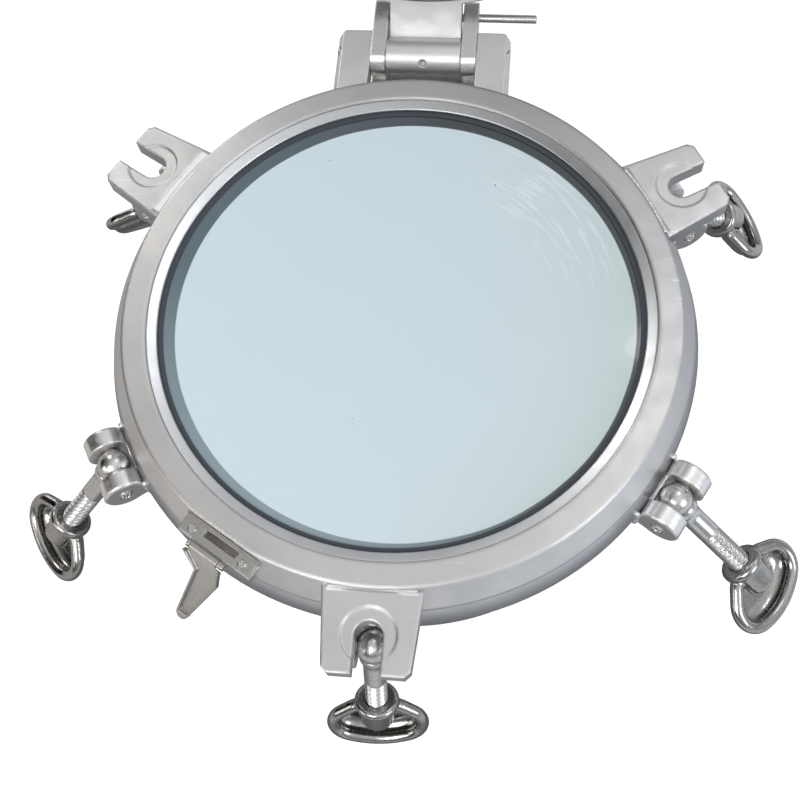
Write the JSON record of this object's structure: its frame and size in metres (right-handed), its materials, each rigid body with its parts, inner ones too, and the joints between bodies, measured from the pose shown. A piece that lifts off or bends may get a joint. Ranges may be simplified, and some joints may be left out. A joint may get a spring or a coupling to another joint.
{
  "type": "porthole",
  "caption": "Hinged ship's side scuttle: welded frame and sleeve, glass holder, deadlight leaning open on its stay pin, swing-bolt dogs with looped hand nuts.",
  "frame": {"origin": "on the axis of the hull sleeve, at the sleeve's back end", "axes": "+Z the way the glass faces, +Y towards the hinge, +X to the right"},
  "size_m": [0.5876, 0.8004, 0.4813],
  "materials": {
    "satin_aluminium": "satin",
    "cast_aluminium": "cast, satin",
    "polished_ears": "polished",
    "polished_ring": "polished",
    "stainless_rod": "turned",
    "cast_stainless": "polished casting",
    "latch_sheet": "dull",
    "seal_rubber": "matt",
    "glass": "clear"
  },
  "bodies": {
    "frame": {"hull_sleeve": "satin_aluminium", "main_frame": "satin_aluminium", "frame_seal": "seal_rubber", "frame_ear_left": "satin_aluminium", "frame_ear_right": "satin_aluminium", "hinge_web": "satin_aluminium", "clevis_right_upper": "polished_ears", "clevis_left_upper": "polished_ears", "clevis_bottom": "polished_ears", "clevis_left_lower": "polished_ears", "clevis_right_lower": "polished_ears", "clevis_pin_right_upper": "stainless_rod", "clevis_pin_left_upper": "stainless_rod", "clevis_pin_bottom": "stainless_rod", "clevis_pin_left_lower": "stainless_rod", "clevis_pin_right_lower": "stainless_rod"},
    "glass_holder": {"glass_holder": "satin_aluminium", "lug_bottom": "satin_aluminium", "lug_left_upper": "satin_aluminium", "lug_right_upper": "satin_aluminium", "glazing_seal": "seal_rubber", "glass_pane": "glass", "retaining_ring": "polished_ring", "holder_ear_left": "satin_aluminium", "holder_ear_right": "satin_aluminium", "latch_plate": "latch_sheet", "latch_screws": "stainless_rod", "latch_pin": "stainless_rod"},
    "deadlight": {"deadlight_cover": "cast_aluminium", "deadlight_seal": "seal_rubber", "hinge_pin": "stainless_rod", "grub_screw": "stainless_rod"},
    "stay_pin": {"stay_pin": "stainless_rod"},
    "latch_lever": {"latch_lever": "latch_sheet"},
    "bolt_right_upper": {"swing_bolt_right_upper": "stainless_rod"},
    "nut_right_upper": {"hand_nut_right_upper": "cast_stainless"},
    "bolt_left_upper": {"swing_bolt_left_upper": "stainless_rod"},
    "nut_left_upper": {"hand_nut_left_upper": "cast_stainless"},
    "bolt_bottom": {"swing_bolt_bottom": "stainless_rod"},
    "nut_bottom": {"hand_nut_bottom": "cast_stainless"},
    "bolt_left_lower": {"swing_bolt_left_lower": "stainless_rod"},
    "nut_left_lower": {"hand_nut_left_lower": "cast_stainless"},
    "bolt_right_lower": {"swing_bolt_right_lower": "stainless_rod"},
    "nut_right_lower": {"hand_nut_right_lower": "cast_stainless"}
  },
  "joints": [
    {"name": "holder_hinge", "type": "hinge", "parent": "frame", "child": "glass_holder", "pos_m": [0, 0.23, 0.165], "axis": [1, 0, 0], "range_deg": [-125, 0]},
    {"name": "deadlight_hinge", "type": "hinge", "parent": "frame", "child": "deadlight", "pos_m": [0, 0.23, 0.165], "axis": [1, 0, 0], "range_deg": [0, 130]},
    {"name": "stay_pin_slide", "type": "slide", "parent": "frame", "child": "stay_pin", "axis": [1, 0, 0], "range_m": [0, 0.09]},
    {"name": "latch_flap", "type": "hinge", "parent": "glass_holder", "child": "latch_lever", "pos_m": [-0.11151, -0.18558, 0.1703], "axis": [-0.8572, 0.515, 0], "range_deg": [0, 135]},
    {"name": "bolt_swing_right_upper", "type": "hinge", "parent": "frame", "child": "bolt_right_upper", "pos_m": [0.19919, 0.115, 0.1345], "axis": [0.5, -0.866, 0], "range_deg": [-47.5, 132.5]},
    {"name": "nut_run_right_upper", "type": "slide", "parent": "bolt_right_upper", "child": "nut_right_upper", "axis": [-0.6385, -0.3686, 0.6756], "range_m": [-0.006, 0.0242]},
    {"name": "bolt_swing_left_upper", "type": "hinge", "parent": "frame", "child": "bolt_left_upper", "pos_m": [-0.19919, 0.115, 0.1345], "axis": [0.5, 0.866, 0], "range_deg": [-32.5, 147.5]},
    {"name": "nut_run_left_upper", "type": "slide", "parent": "bolt_left_upper", "child": "nut_left_upper", "axis": [0.4653, -0.2687, 0.8434], "range_m": [-0.02, 0.0102]},
    {"name": "bolt_swing_bottom", "type": "hinge", "parent": "frame", "child": "bolt_bottom", "pos_m": [0, -0.23, 0.1345], "axis": [-1, 0, 0], "range_deg": [-26, 154]},
    {"name": "nut_run_bottom", "type": "slide", "parent": "bolt_bottom", "child": "nut_bottom", "axis": [0, 0.4384, 0.8988], "range_m": [-0.008, 0.0222]},
    {"name": "bolt_swing_left_lower", "type": "hinge", "parent": "frame", "child": "bolt_left_lower", "pos_m": [-0.19919, -0.115, 0.1345], "axis": [-0.5, 0.866, 0], "range_deg": [-44, 136]},
    {"name": "nut_run_left_lower", "type": "slide", "parent": "bolt_left_lower", "child": "nut_left_lower", "axis": [0.6016, 0.3473, 0.7193], "range_m": [-0.0125, 0.0177]},
    {"name": "bolt_swing_right_lower", "type": "hinge", "parent": "frame", "child": "bolt_right_lower", "pos_m": [0.19919, -0.115, 0.1345], "axis": [-0.5, -0.866, 0], "range_deg": [-55, 125]},
    {"name": "nut_run_right_lower", "type": "slide", "parent": "bolt_right_lower", "child": "nut_right_lower", "axis": [-0.7094, 0.4096, 0.5736], "range_m": [-0.015, 0.0152]}
  ]
}
